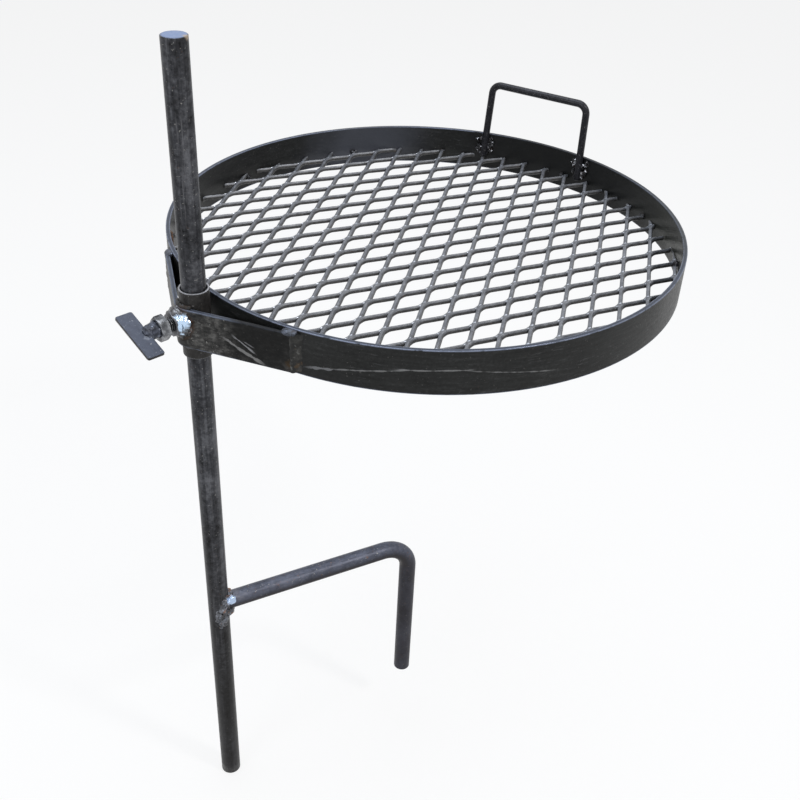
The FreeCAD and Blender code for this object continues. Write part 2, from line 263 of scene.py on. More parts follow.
def weldFinish(name, look):
    # fused steel: lumpy and dark, bright where it cooled clean and where highlights are painted on, rusty in
    # its hollows and round its toe
    f = Finish(name)
    lump = f.cloud(4.0 * mm, 4, 0.6)
    colour = f.ramp(f.cloud(6.5 * mm, 3, 0.55, shift=1.3), look["tones"])
    rust = f.cloud(5.0 * mm, 4, 0.65, shift=2.9) + f.mark("edge") * 0.16
    rust = f.above(rust, look["rustFrom"], 0.14)
    colour = f.mix(colour, look["rustTone"], rust * look["rust"])
    # bright mask: clean metal, partly a painted highlight in the bright tone
    cleanAndHighlight = f.above(f.cloud(4.2 * mm, 2, 0.5, shift=6.1), look["brightFrom"], 0.1) * look["bright"]
    # painted highlights: bright round spots at given places
    for place in look.get("highlightSpots", ()):
        cleanAndHighlight = cleanAndHighlight.maths("MAXIMUM", cleanAndHighlight, f.spot(place, f.cloud(4.0 * mm, 3, 0.5, shift=9.1)))
    colour = f.mix(colour, look["brightTone"], cleanAndHighlight)
    roughness = look["rough"] + (lump - 0.5) * 0.3 - cleanAndHighlight * 0.16 + rust * 0.25
    metallic = look["metal"] - rust * look["metal"] * 0.7 + cleanAndHighlight * 0.15
    return f.wear(colour, roughness, metallic, lump, look)


weldLook = {
    "tones": [(0.36, (0.02, 0.019, 0.018)), (0.5, (0.055, 0.052, 0.05)), (0.66, (0.13, 0.125, 0.125))],
    # the bright tone is for clean metal and painted highlights
    "brightFrom": 0.62, "brightTone": (0.42, 0.48, 0.6), "bright": 0.5, "rustTone": (0.19, 0.075, 0.028),
    "rustFrom": 0.56, "rust": 0.7, "rough": 0.42, "metal": 0.5, "bump": 0.4 * mm, "level": 0.4,
}
darkWeldLook = dict(
    weldLook, brightFrom=0.64, bright=0.6, rust=0.1, rough=0.26, brightTone=(0.3, 0.33, 0.38),
    tones=[(0.34, (0.008, 0.008, 0.009)), (0.55, (0.02, 0.02, 0.023)), (0.72, (0.06, 0.06, 0.066))])


def spot(at, inner, outer, ragged, tone=None, strength=1.0):
    # a round mark on a surface, sizes in mm
    return {"at": tuple(at), "inner": inner * mm, "outer": outer * mm, "ragged": ragged * mm,
            "tone": tone, "strength": strength}


# Mesh building

def polar(radius, heading, height=0.0):
    angle = radians(heading)
    return Vector((radius * cos(angle), radius * sin(angle), height))


def fullTurn(count):
    return [2 * pi * j / count for j in range(count)]


def linked(name, data):
    obj = bpy.data.objects.new(name, data)
    bpy.context.scene.collection.objects.link(obj)
    return obj


def meshObject(name, bm, material):
    mesh = bpy.data.meshes.new(name)
    bm.to_mesh(mesh)
    bm.free()
    mesh.materials.append(material)
    return linked(name, mesh)


def piece(name, bm, body, material, node, sharp=38):
    # a finished object that rides on its body; edges sharper than so many degrees stay crisp
    bmesh.ops.recalc_face_normals(bm, faces=bm.faces)
    for edge in bm.edges:
        edge.smooth = not (edge.is_manifold and edge.calc_face_angle(0) > radians(sharp))
    for face in bm.faces:
        face.smooth = True
    obj = meshObject(name, bm, material)
    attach(obj, body)
    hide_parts(node)


def weldPiece(name, bm, body, finishName, look, node, sharp=38):
    piece(name, bm, body, weldFinish(finishName, look), node, sharp)


def skin(loops, marks={}, closed=False, bm=None):
    # joins loops of points into a surface; marks gives each point of a loop its named values
    bm = bm or bmesh.new()
    layers = {key: bm.verts.layers.float.get(key) or bm.verts.layers.float.new(key) for key in marks}
    rows = []
    for i, loop in enumerate(loops):
        row = [bm.verts.new(point) for point in loop]
        for key, layer in layers.items():
            for j, vert in enumerate(row):
                vert[layer] = marks[key](i, j)
        rows.append(row)
    following = rows[1:] + rows[:1] if closed else rows[1:]
    for first, second in zip(rows, following):
        for j in range(len(first)):
            k = (j + 1) % len(first)
            bm.faces.new((first[j], first[k], second[k], second[j]))
    if not closed:
        bm.faces.new(rows[0])
        bm.faces.new(rows[-1])
    return bm


def circleLoop(centre, direction, radius, count=32, reference=up):
    side = direction.cross(reference)
    side = side.normalized() if side.length > 1e-6 else direction.orthogonal().normalized()
    rise = side.cross(direction).normalized()
    return [centre + side * (radius * cos(a)) + rise * (radius * sin(a)) for a in fullTurn(count)]


def bentPath(points, radius, step=2 * mm):
    # straight runs and tangent arcs, as (place, direction) pairs
    path = []
    cursor = points[0]
    for before, corner, after in zip(points, points[1:], points[2:]):
        into = (corner - before).normalized()
        out = (after - corner).normalized()
        half = into.angle(out) / 2
        start = corner - into * (radius * tan(half))
        centre = corner + (out - into).normalized() * (radius / cos(half))
        path.append((cursor, into))
        axis = into.cross(out).normalized()
        count = max(4, int(radius * 2 * half / step))
        for i in range(count + 1):
            turn = Matrix.Rotation(2 * half * i / count, 3, axis)
            path.append((centre + turn @ (start - centre), turn @ into))
        cursor = path[-1][0]
    path.append((points[-1], (points[-1] - cursor).normalized()))
    return path


def barEnds(path, radius, edgeBreak):
    # radii along a bar's path, with a small chamfer at each end
    (first, into), (last, out) = path[0], path[-1]
    start = [(first, into, radius - edgeBreak), (first + into * edgeBreak, into, radius)]
    stop = [(last - out * edgeBreak, out, radius), (last, out, radius - edgeBreak)]
    return start + [(place, way, radius) for place, way in path[1:-1]] + stop


def roundedRectangle(halfWide, halfHigh, radii, turns=3, margin=0.0):
    # a section as (x, y, on a corner) rows, anticlockwise, with a radius for each corner;
    # a margin adds a plain point either side of a corner
    points = []
    for index, (sx, sy, radius) in enumerate(zip((1, -1, -1, 1), (1, 1, -1, -1), radii)):
        x, y = sx * (halfWide - radius), sy * (halfHigh - radius)
        angles = [pi / 2 * (index + i / turns) for i in range(turns + 1)]
        arc = [(x + radius * cos(a), y + radius * sin(a), 1.0) for a in angles]
        if margin:
            before, after = angles[0] - pi / 2, angles[-1] + pi / 2
            arc.insert(0, (arc[0][0] + margin * cos(before), arc[0][1] + margin * sin(before), 0.0))
            arc.append((arc[-1][0] + margin * cos(after), arc[-1][1] + margin * sin(after), 0.0))
        points += arc
    return points


def lumpy(place, size, seed=0.0):
    return noise.noise(place / size + Vector((seed, seed * 2, seed * 3)))


def beadLoops(path, radius, ripple, pitch, seed, count=20):
    # a weld bead along a path: overlapping scales, uneven width, closed round ends
    loops = []
    length = 0.0
    total = sum((b[0] - a[0]).length for a, b in zip(path, path[1:]))
    previous = path[0][0]
    for place, way in path:
        length += (place - previous).length
        previous = place
        scale = abs(sin(pi * length / pitch))
        ends = sin(pi * min(max(length / total, 0.0), 1.0))
        taper = min(1.0, (ends * total / radius / 2.2) ** 0.5)
        size = radius * taper * (1 - ripple * (1 - scale)) + 0.05 * mm
        loop = []
        for point in circleLoop(place, way, 1.0, count):
            out = point - place
            loop.append(place + out * (size * (1 + 0.22 * lumpy(place + out * radius, 4 * mm, seed))))
        loops.append(loop)
    return loops


def blob(bm, centre, size, seed, rough):
    # a rounded lump of weld with an uneven skin
    layer = bm.verts.layers.float.get("edge") or bm.verts.layers.float.new("edge")
    for vert in bmesh.ops.create_icosphere(bm, subdivisions=3, radius=1.0)["verts"]:
        way = vert.co.copy()
        swell = 1 + rough * noise.noise(way * 1.3 + Vector((seed, seed, seed)))
        swell += rough * 0.35 * noise.noise(way * 3.4 + Vector((seed, 0, seed)))
        vert.co = centre + way * size * swell
        vert[layer] = min(1.0, abs(way.z) * 0.4)


# Stake

stake = {
    "endBreak": 1.0 * mm, "segments": 72, "steps": 60, "unevenBy": 0.06 * mm, "unevenSize": 20 * mm,
    # the rim at the top: how far down and how far in, in end breaks
    "rim": [(1.6, 0), (0.7, 0), (0.25, 0.35), (0, 0.9), (0, 2.2)], "innerLoop": 0.5,
    "stainWay": (0.55, -0.83), "stainReach": 0.94, "stain": (2, 5, 4, (0.42, 0.33, 0.24), 0.7),
    # the top tone: bright cut steel on the top face, tinted blue as a painted sky reflection
    "look": dict(
        barLook, topTone=(0.17, 0.23, 0.38), top=1.0, edge=0.4, soil=0.75, rust=0.45, level=0.12, metal=0.35,
        grain=(1, 1, 0.03), streakSize=8.5 * mm, mottleSize=6 * mm, scuff=0.6, scuffSize=4 * mm,
        fleck=0.6, rough=0.36,
        tones=[(0.4, (0.008, 0.008, 0.0088)), (0.5, (0.044, 0.045, 0.05)), (0.61, (0.125, 0.127, 0.138))]),
}


def makeStake():
    chamfer = stake["endBreak"]
    heights = [(stakeLow.z, -chamfer), (stakeLow.z + chamfer, 0)]
    for i in range(1, stake["steps"]):
        heights.append((stakeLow.z + (stakeHigh.z - stakeLow.z) * i / stake["steps"], 0))
    rim = len(heights)
    heights += [(stakeHigh.z - chamfer * down, -chamfer * inset) for down, inset in stake["rim"]]
    heights.append((stakeHigh.z, -stakeRadius * stake["innerLoop"]))
    loops = []
    for z, inset in heights:
        loop = []
        for j in range(stake["segments"]):
            place = polar(stakeRadius + inset, 360 * j / stake["segments"], z)
            loop.append(place + place.normalized() * (stake["unevenBy"] * lumpy(place, stake["unevenSize"])))
        loops.append(loop)
    corner = Vector((*stake["stainWay"], 0)) * (stakeRadius * stake["stainReach"]) + up * stakeHigh.z
    look = dict(stake["look"], patches=[spot(corner, *stake["stain"])])
    bm = skin(loops, {"edge": lambda i, j: float(rim < i < rim + 4), "top": lambda i, j: float(i > rim + 2)})
    piece("stakeBar", bm, "stake", millScale("bar scale", look), "stake", 50)


# Anchor leg

leg = {
    "diameter": 22.225 * mm, "reach": 267.2 * mm, "bend": 40 * mm, "heading": -15.2, "edgeBreak": 1.2 * mm,
    "segments": 40, "clear": 0.05 * mm, "rootRing": 6 * mm, "rings": (0.1, 0.2),
    "stainAt": (10, 4), "stain": (4, 14, 20, (0.2, 0.2, 0.225), 0.6),
    # belly darkens the leg's underside as painted shade
    "look": dict(
        barLook, grain=(0.6, 0.6, 0.6), streakSize=20 * mm, patchSize=30 * mm, mottleSize=8 * mm, rust=0.7,
        rustFrom=0.6, rustTone=(0.2, 0.11, 0.075), rough=0.42, metal=0.4, scuff=0.5, belly=0.85,
        level=0.1, fleck=0.8,
        tones=[(0.36, (0.038, 0.04, 0.052)), (0.5, (0.078, 0.084, 0.11)), (0.64, (0.135, 0.145, 0.185))]),
}
legRadius = leg["diameter"] / 2
legWay = polar(1, leg["heading"])
legSide = polar(1, leg["heading"] + 90)


def byLeg(out, rise, aside=0.0):
    # a place near the leg's root, in mm: out from the stake's face, up from the leg's top, to the front
    return legWay * (stakeRadius + out * mm) + up * (legRadius + rise * mm) - legSide * (aside * mm)


def makeLeg():
    root = Vector((0, 0, legRadius))
    corner = root + legWay * leg["reach"]
    path = bentPath([root, corner, Vector((corner.x, corner.y, legTip))], leg["bend"])
    start = circleLoop(root, legWay, legRadius, leg["segments"], legSide)
    # the first loop is cut to the stake's curve
    coped = []
    for point in start:
        aside = (point - root).dot(legSide)
        coped.append(point + legWay * (sqrt(stakeRadius ** 2 - aside ** 2) + leg["clear"]))
    straight = [[point + legWay * reach for point in start]
                for reach in (stakeRadius + leg["rootRing"], *leg["rings"])]
    bent = [circleLoop(place, way, radius, leg["segments"], legSide)
            for place, way, radius in barEnds(path, legRadius, leg["edgeBreak"])[2:]]
    bm = skin([coped] + straight + bent)
    look = dict(leg["look"], patches=[spot(byLeg(*leg["stainAt"]), *leg["stain"])])
    piece("anchorLegBar", bm, "anchor", millScale("leg scale", look), "anchor_leg")


legWeld = {
    "radius": 5.2 * mm, "steps": 90, "spread": 1.6 * mm, "lift": 1.0 * mm, "segments": 18,
    # how deep the ripples are and how many, and how much thicker the bead is below
    "ripple": 0.16, "ripples": 4.5, "top": 0.86, "swell": 0.42,
    # lumps that run over the stake below the bead: heading in degrees, height and size in mm
    "lumps": [(-130, 1, 3.8), (-125, -7, 4.2), (-120, 6, 4.4), (-115, -2, 5.4), (-110, -13, 4.4),
              (-106, 10, 4.8), (-101, 1, 5.8), (-96, -8, 5.4), (-93, 15, 5.2), (-89, -17, 3.6),
              (-85, 5, 6.2), (-79, -4, 6.0), (-77, 20, 5.4), (-67, 9, 6.0), (-63, -2, 5.4),
              (-59, 24, 4.8), (-116, -20, 2.8)],
    "lumpSink": 1.9 * mm, "lumpTall": 1.15, "lumpRough": 0.38,
    # a lump over the joint, placed and sized in mm
    "crownAt": (1.5, 7.5, 9), "crownSize": (6.4, 5.2, 7.4), "crownRough": 0.3,
    "look": dict(
        weldLook, rust=0.75, rustFrom=0.6, rough=0.32, metal=0.6, rustTone=(0.24, 0.1, 0.04),
        brightTone=(0.45, 0.56, 0.74), bright=0.4,
        tones=[(0.36, (0.035, 0.036, 0.04)), (0.5, (0.085, 0.088, 0.098)), (0.66, (0.19, 0.2, 0.225))],
        # painted highlights over the joint
        highlightSpots=[spot(byLeg(1.5, 9.5, 12), 5, 8.5, 6), spot(byLeg(5, 3, legRadius / mm + 2), 2, 5, 6)]),
}


def makeLegWeld():
    centre = up * legRadius
    spread = legRadius + legWeld["spread"]
    loops = []
    for turn in fullTurn(legWeld["steps"]):
        aside = spread * sin(turn)
        seat = sqrt(max(stakeRadius ** 2 - aside ** 2, 0.0))
        place = centre + legSide * aside + up * (spread * cos(turn)) + legWay * (seat + legWeld["lift"])
        outward = (place - centre - legWay * seat).normalized()
        ripple = 1 - legWeld["ripple"] * (1 - abs(sin(legWeld["ripples"] * turn)))
        swell = legWeld["top"] + legWeld["swell"] * (0.5 - 0.5 * cos(turn))
        size = legWeld["radius"] * ripple * swell * (1 + 0.18 * lumpy(place, 6 * mm, 2.0))
        loop = []
        for a in fullTurn(legWeld["segments"]):
            out = outward * cos(a) + legWay * sin(a)
            loop.append(place + out * (size * (1 + 0.3 * lumpy(place + out * size, 4.2 * mm, 5.0))))
        loops.append(loop)
    bm = skin(loops, {"edge": lambda i, j: 1.0 if j in (0, 1, 2, 7, 8, 9) else 0.2}, closed=True)
    for index, (heading, height, size) in enumerate(legWeld["lumps"]):
        place = polar(stakeRadius - legWeld["lumpSink"], heading, height * mm)
        size = Vector((size, size, size * legWeld["lumpTall"])) * mm
        blob(bm, place, size, 3.0 + index * 1.9, legWeld["lumpRough"])
    blob(bm, byLeg(*legWeld["crownAt"]), Vector(legWeld["crownSize"]) * mm, 4.6, legWeld["crownRough"])
    weldPiece("anchorLegWeld", bm, "anchor", "leg weld", legWeld["look"], "anchor_leg_weld")


# Sleeve

sleeve = {
    "wall": 2.1 * mm, "lip": 0.7 * mm, "segments": 80, "unevenBy": 0.25 * mm, "unevenSize": 12 * mm,
    # the pale edge tone is the rubbed rims with a painted highlight on them
    "look": dict(
        barLook, grain=(1, 1, 0.8), patchSize=12 * mm, edgeTone=(0.34, 0.34, 0.36), edge=0.9, scuff=0.35,
        edgeFrom=0.3, rust=0.3,
        tones=[(0.34, (0.012, 0.011, 0.01)), (0.52, (0.03, 0.028, 0.027)), (0.7, (0.065, 0.061, 0.057))]),
}


def makeSleeve():
    outer, lip = sleeveRadius, sleeve["lip"]
    inner = outer - sleeve["wall"]
    low, high = sleeveLow.z, sleeveHigh.z
    profile = [(outer, low + lip), (outer, low + lip * 3), (outer, high - lip * 3), (outer, high - lip),
               (outer - lip * 0.3, high - lip * 0.3), (outer - lip, high), (inner + lip * 0.6, high),
               (inner, high - lip * 0.6), (inner, low + lip * 0.6), (inner + lip * 0.6, low),
               (outer - lip, low), (outer - lip * 0.3, low + lip * 0.3)]
    loops = []
    for j in range(sleeve["segments"]):
        angle = 360 * j / sleeve["segments"]
        wave = sleeve["unevenBy"] * lumpy(polar(outer, angle), sleeve["unevenSize"], 4.0)
        loops.append([polar(r, angle, z + (wave if z > high - 4 * lip else 0)) for r, z in profile])
    bm = skin(loops, {"edge": lambda i, j: float(j in (4, 5, 6, 9, 10, 11))}, closed=True)
    piece("sleeveTube", bm, "grill", millScale("tube scale", sleeve["look"]), "sleeve")


sleeveWeld = {
    "halfAngle": 46, "radius": 2.6 * mm, "steps": 40, "ripple": 0.12, "pitch": 3.2 * mm,
    "out": 0.8 * mm, "rise": 0.6 * mm,
    "look": dict(
        weldLook, bright=0.2, rust=0.25, rustTone=(0.08, 0.045, 0.025), rough=0.45, metal=0.4,
        tones=[(0.36, (0.012, 0.012, 0.012)), (0.5, (0.028, 0.027, 0.027)), (0.66, (0.07, 0.067, 0.065))]),
}


def makeSleeveWeld(name, node, height, rise):
    path = []
    span, steps = sleeveWeld["halfAngle"], sleeveWeld["steps"]
    for i in range(steps + 1):
        angle = 180 - span + 2 * span * i / steps
        place = polar(sleeveRadius + sleeveWeld["out"], angle, height + rise * sleeveWeld["rise"])
        path.append((place, polar(1, angle + 90)))
    loops = beadLoops(path, sleeveWeld["radius"], sleeveWeld["ripple"], sleeveWeld["pitch"], 3.0, 14)
    weldPiece(name, skin(loops, {"edge": lambda i, j: 0.8}), "grill", name, sleeveWeld["look"], node)


# Yoke strap

strap = {
    "wall": 4.76 * mm, "endShort": 33 * mm, "edge": 0.7 * mm, "rub": 0.9 * mm, "legSteps": 24,
    "noseSteps": 40, "unevenBy": 0.18 * mm, "unevenSize": 18 * mm,
    # from the front end back and from the top down, inner, outer and ragged in mm, then tone and strength
    # the first only darkens a wide patch near the strap's end; the second is a brown stain at its lower end
    "patches": [(30, 14, 18, 62, 40, (0.006, 0.006, 0.006), 0.9),
               (1, 35.45, 2, 8, 10, (0.05, 0.03, 0.012), 0.8)],
    "noseStain": (17, 21.5, 8, (0.075, 0.048, 0.034), 0.6),
    # start, end, rise from the top, slope, wander, half width, fade, seed, tone, strength
    "scratches": [(36, 92, -19.5, -0.45, 3, 2.3, 14, 11.0, (0.26, 0.255, 0.25), 0.7),
                  (50, 80, -15.0, -0.62, 4, 1.5, 8, 13.0, (0.34, 0.34, 0.35), 0.65),
                  (62, 78, -20.0, -0.4, 4, 1.0, 5, 17.0, (0.26, 0.26, 0.27), 0.5)],
    # the pale bluish top tone is a painted sky reflection on the top face, the pale edge tone a painted
    # highlight on rubbed edges
    "look": dict(
        barLook, grain=(0.4, 0.4, 1), patchSize=18 * mm, scuff=0.35, scuffFrom=0.58, rust=0.35, edge=0.8,
        mottleSize=9 * mm, scuffTone=(0.17, 0.165, 0.155), edgeTone=(0.13, 0.15, 0.2), edgeFrom=0.3,
        topTone=(0.06, 0.068, 0.09), top=0.85, level=0.12, fleck=0.8, metal=0.15,
        tones=[(0.4, (0.01, 0.01, 0.01)), (0.5, (0.04, 0.039, 0.037)), (0.6, (0.125, 0.121, 0.114))]),
}
strapTurn = 180 - degrees(acos((ringRadius - sleeveRadius) / ringCentre.x))


def strapLeg(side):
    return polar(1, side * (strapTurn - 90))


def strapTip(side, offset, height=0.0):
    touch = ringCentre + polar(ringRadius + offset, side * strapTurn, height)
    return touch - strapLeg(side) * strap["endShort"]


def strapPath():
    # the strap's middle line, with the outward normal at each place
    middle = sleeveRadius + strap["wall"] / 2
    steps = strap["legSteps"]
    legs = []
    for side in (1, -1):
        tip, bend = strapTip(side, strap["wall"] / 2), polar(middle, side * strapTurn)
        legs.append([(tip.lerp(bend, i / steps), polar(1, side * strapTurn)) for i in range(steps + 1)])
    nose = []
    for i in range(1, strap["noseSteps"]):
        angle = strapTurn + (360 - 2 * strapTurn) * i / strap["noseSteps"]
        nose.append((polar(middle, angle), polar(1, angle)))
    return legs[0] + nose + legs[1][::-1]


def bandSection(shape, high):
    return roundedRectangle(shape["wall"] / 2, high / 2, [shape["edge"]] * 4, 3, shape["rub"])


def bandMarks(shape, section, high):
    return {"edge": lambda i, j: section[j][2],
            "top": lambda i, j: float(section[j][1] > high / 2 - shape["edge"])}


def makeStrap():
    high = strapTop - strapBottom
    section = bandSection(strap, high)
    loops = []
    for place, normal in strapPath():
        loop = []
        for across, height, _ in section:
            point = place + normal * across + up * (ringMiddle + height)
            loop.append(point + normal * (strap["unevenBy"] * lumpy(point, strap["unevenSize"], 1.0)))
        loops.append(loop)
    bm = skin(loops, bandMarks(strap, section, high))
    ahead = strapLeg(-1)
    patches = [spot(strapTip(-1, strap["wall"], strapTop - down * mm) - ahead * (back * mm), *rest)
              for back, down, *rest in strap["patches"]]
    nose = Vector((-sleeveRadius - strap["wall"], 0, boltHeight))
    patches.insert(1, spot(nose, *strap["noseStain"]))
    look = dict(strap["look"], patches=patches, scratches=strap["scratches"], way=tuple(ahead), base=strapTop)
    piece("yokeStrapBar", bm, "grill", millScale("strap scale", look), "yoke_strap")


def offRing(place):
    # moves a place that is inside the ring's outer face back to it
    flat = Vector((place.x - ringCentre.x, place.y, 0))
    least = ringRadius - 0.4 * mm
    if flat.length < least:
        flat *= least / flat.length
        place = Vector((flat.x + ringCentre.x, flat.y, place.z))
    return place


endWeld = {
    "steps": 46, "short": 0.4 * mm, "uneven": 1.6 * mm,
    # the section, from the strap's end: mm along, then out as shares of the gap and the strap, and mm
    "section": [(-3.0, -1, 0, -0.5), (-3.0, 0, 0, 0.5), (-2.2, 0, 0.8, 0), (-1.6, 0, 1.03, 0),
                (0.8, 0, 1.06, 0), (3.6, 0, 0.7, 0), (6.8, 0, 0.2, 0), (9.0, -0.5, 0, 0),
                (9.6, -1, 0, -0.5)],
    "look": dict(
        weldLook, rust=0.8, rustFrom=0.6, rough=0.34, metal=0.3, brightTone=(0.16, 0.16, 0.155),
        rustTone=(0.045, 0.026, 0.01),
        tones=[(0.36, (0.006, 0.006, 0.006)), (0.52, (0.013, 0.013, 0.012)), (0.68, (0.038, 0.037, 0.034))]),
}


def makeEndWeld(name, node, side):
    # the weld ramps down from the strap's face to the ring, uneven, with a ragged toe
    normal, ahead = polar(1, side * strapTurn), strapLeg(side)
    face, steps, short = strap["wall"], endWeld["steps"], endWeld["short"]
    loops = []
    for i in range(steps + 1):
        height = strapBottom + short + (strapTop - strapBottom - 2 * short) * i / steps
        base = strapTip(side, 0, height)
        away = (ringCentre - Vector((base.x, base.y, 0))).length - ringRadius
        loop = []
        for along, gaps, faces, more in endWeld["section"]:
            out = away * gaps + face * faces + more * mm
            place = base + ahead * (along * mm) + normal * out
            uneven = lumpy(place, 5.5 * mm, 6.0 + side) * 0.55 + lumpy(place, 2.2 * mm, 9.0 + side) * 0.25
            if out > 0.6 * face or along > 0:
                place += (normal * 0.6 + ahead * 1.5) * (uneven * endWeld["uneven"])
            loop.append(offRing(place))
        loops.append(loop)
    bm = skin(loops, {"edge": lambda i, j: 0.7 if i < steps * 0.45 and j > 4 else 0.0})
    weldPiece(name, bm, "grill", name, endWeld["look"], node, 60)


bridge = {
    "length": 16 * mm, "wide": 5.4 * mm, "high": 3.4 * mm, "rings": 14, "segments": 28,
    "lift": 0.2 * mm, "back": 3.5 * mm, "crown": 0.62, "slope": 0.9 * mm, "unevenBy": 0.5 * mm,
    "unevenSize": 5 * mm,
    "look": dict(
        weldLook, bright=0.4, brightTone=(0.16, 0.19, 0.26), rust=0.1, metal=0.4, rough=0.34,
        tones=[(0.36, (0.02, 0.023, 0.03)), (0.52, (0.042, 0.048, 0.064)), (0.68, (0.085, 0.096, 0.125))]),
}


def makeBridge(name, node, side):
    # a short pad of weld over the strap's top corner and up to the ring
    ahead, normal = strapLeg(side), polar(1, side * strapTurn)
    middle = strapTip(side, bridge["lift"], strapTop + bridge["lift"]) - ahead * bridge["back"]
    loops = []
    for i in range(1, bridge["rings"]):
        turn = pi * i / bridge["rings"]
        girth = sin(turn) ** 0.5
        along = -cos(turn) * bridge["length"] / 2
        loop = []
        for a in fullTurn(bridge["segments"]):
            across, rise = cos(a) * girth, sin(a) * girth
            place = middle + ahead * along + normal * (across * bridge["wide"])
            high = bridge["high"] * (bridge["crown"] if rise > 0 else 1.0)
            place += up * (rise * high - across * bridge["slope"])
            uneven = lumpy(place, bridge["unevenSize"], 8.0) * bridge["unevenBy"]
            place += (place - middle).normalized() * uneven
            loop.append(offRing(place))
        loops.append(loop)
    weldPiece(name, skin(loops), "grill", name, bridge["look"], node, 60)


# Ring

ring = {
    "wall": 4.76 * mm, "edge": 0.6 * mm, "rub": 0.7 * mm, "segments": 288, "seam": 149,
    # outward from the face, heading, height, inner, outer, ragged, tone, strength; the first is the seam's
    # the last only darkens the ring round heading 8
    "patches": [(-10.76, 149, 4, 6, 10.5, 5, (0.1, 0.072, 0.05), 0.8),
               (0, -40, 0, 30, 160, 60, (0.036, 0.037, 0.03), 0.5),
               (0, 64, 0, 20, 120, 80, (0.068, 0.072, 0.086), 0.8),
               (0, 8, 0, 50, 220, 80, (0.01, 0.0105, 0.0105), 0.85)],
    # start, end, rise from the bottom, slope, wander, half width, fade, seed, tone, strength
    "scratches": [(44, 66, 10, 0.36, 1.2, 2.1, 7, 21.0, (0.24, 0.24, 0.25), 0.6),
                  (56, 108, 16, 0.24, 1.0, 1.0, 10, 23.0, (0.24, 0.24, 0.24), 0.6),
                  (92, 155, 27, 0.04, 1.0, 0.9, 10, 27.0, (0.26, 0.26, 0.26), 0.6),
                  (142, 235, 29, -0.13, 1.2, 0.9, 20, 29.0, (0.26, 0.26, 0.26), 0.55)],
    # the pale bluish top tone is a painted sky reflection on the top face, the pale edge tone a painted
    # highlight on rubbed edges
    "look": dict(
        barLook, grain=(0.12, 0.12, 1), patchSize=70 * mm, scuff=0.5, rust=0.08, edge=0.9, level=0.15,
        fleck=0.14, scuffTone=(0.085, 0.087, 0.09), edgeTone=(0.16, 0.18, 0.24), edgeFrom=0.28,
        topTone=(0.05, 0.058, 0.078), top=0.9, rough=0.4, metal=0.15,
        tones=[(0.36, (0.009, 0.0092, 0.009)), (0.54, (0.02, 0.0205, 0.02)), (0.7, (0.044, 0.045, 0.045))]),
}
ringInner = ringRadius - ring["wall"]


def makeRing():
    high = ringTop - ringBottom
    section = bandSection(ring, high)
    middle = ringRadius - ring["wall"] / 2
    loops = []
    for i in range(ring["segments"]):
        angle = 360 * i / ring["segments"]
        loops.append([ringCentre + polar(middle + across, angle, ringMiddle + height)
                      for across, height, _ in section])
    bm = skin(loops, bandMarks(ring, section, high), closed=True)
    patches = [spot(ringCentre + polar(ringRadius + out * mm, heading, ringMiddle + rise * mm), *rest)
              for out, heading, rise, *rest in ring["patches"]]
    look = dict(ring["look"], patches=patches, scratches=ring["scratches"], way=(1, 0, 0), base=ringBottom)
    piece("ringBand", bm, "grill", millScale("ring scale", look), "ring")


seamWeld = {
    "radius": 3.0 * mm, "ripple": 0.16, "pitch": 3.4 * mm, "clear": 3 * mm, "steps": 60,
    "look": dict(
        weldLook, bright=0.2, rust=0.5, rough=0.5, metal=0.4,
        tones=[(0.32, (0.03, 0.022, 0.018)), (0.5, (0.08, 0.06, 0.045)), (0.7, (0.14, 0.11, 0.09))]),
}


def makeSeamWeld():
    low = ringCentre + polar(ringInner, ring["seam"], grateHigh.z + seamWeld["clear"])
    high = ringCentre + polar(ringInner, ring["seam"], ringTop - seamWeld["clear"])
    path = [(low.lerp(high, i / seamWeld["steps"]), up) for i in range(seamWeld["steps"] + 1)]
    loops = beadLoops(path, seamWeld["radius"], seamWeld["ripple"], seamWeld["pitch"], 9.0)
    bm = skin(loops, {"edge": lambda i, j: 0.6})
    weldPiece("ringSeamWeld", bm, "grill", "seam weld", seamWeld["look"], "ring_seam_weld")


# Grate

def meshFinish(name, look):
    # expanded sheet: blue-grey scale on its faces, paler and browner where it was sheared, painted shade on
    # its undersides and painted glints on its bonds
    f = Finish(name)
    cut = f.between(f.mark("cut") + (f.cloud(3 * mm, 3, 0.6, shift=6.3) - 0.5) * 0.3, 0.5, 0.72)
    grain = f.cloud(2.2 * mm, 5, 0.65, f.stretched((0.35, 0.35, 1)))
    face = f.ramp(grain * 0.6 + f.cloud(12 * mm, 2, 0.5, shift=1.1) * 0.4, look["faceTones"])
    shear = f.ramp(f.cloud(1.6 * mm, 5, 0.7, f.stretched((0.5, 0.5, 1)), 2.3), look["shearTones"])
    # painted shade on the strands' undersides
    colour = f.mix(f.mix(face, shear, cut), look["underShadeTone"], f.mark("underShade") * look["underShade"])
    # painted glints on the bonds' tops
    glint = f.mark("glint") * f.between(f.cloud(20 * mm, 3, 0.5, shift=3.7), 0.24, 0.46)
    colour = f.mix(colour, look["glintTone"], glint)
    rust = f.between(f.cloud(10 * mm, 5, 0.7, shift=8.2), 0.6, 0.72)
    colour = f.mix(colour, look["rustTone"], rust * cut * look["rust"])
    roughness = look["rough"] + (grain - 0.5) * 0.3 - glint * 0.15
    return f.wear(colour, roughness, look["metal"] + glint * 0.3, grain, look)


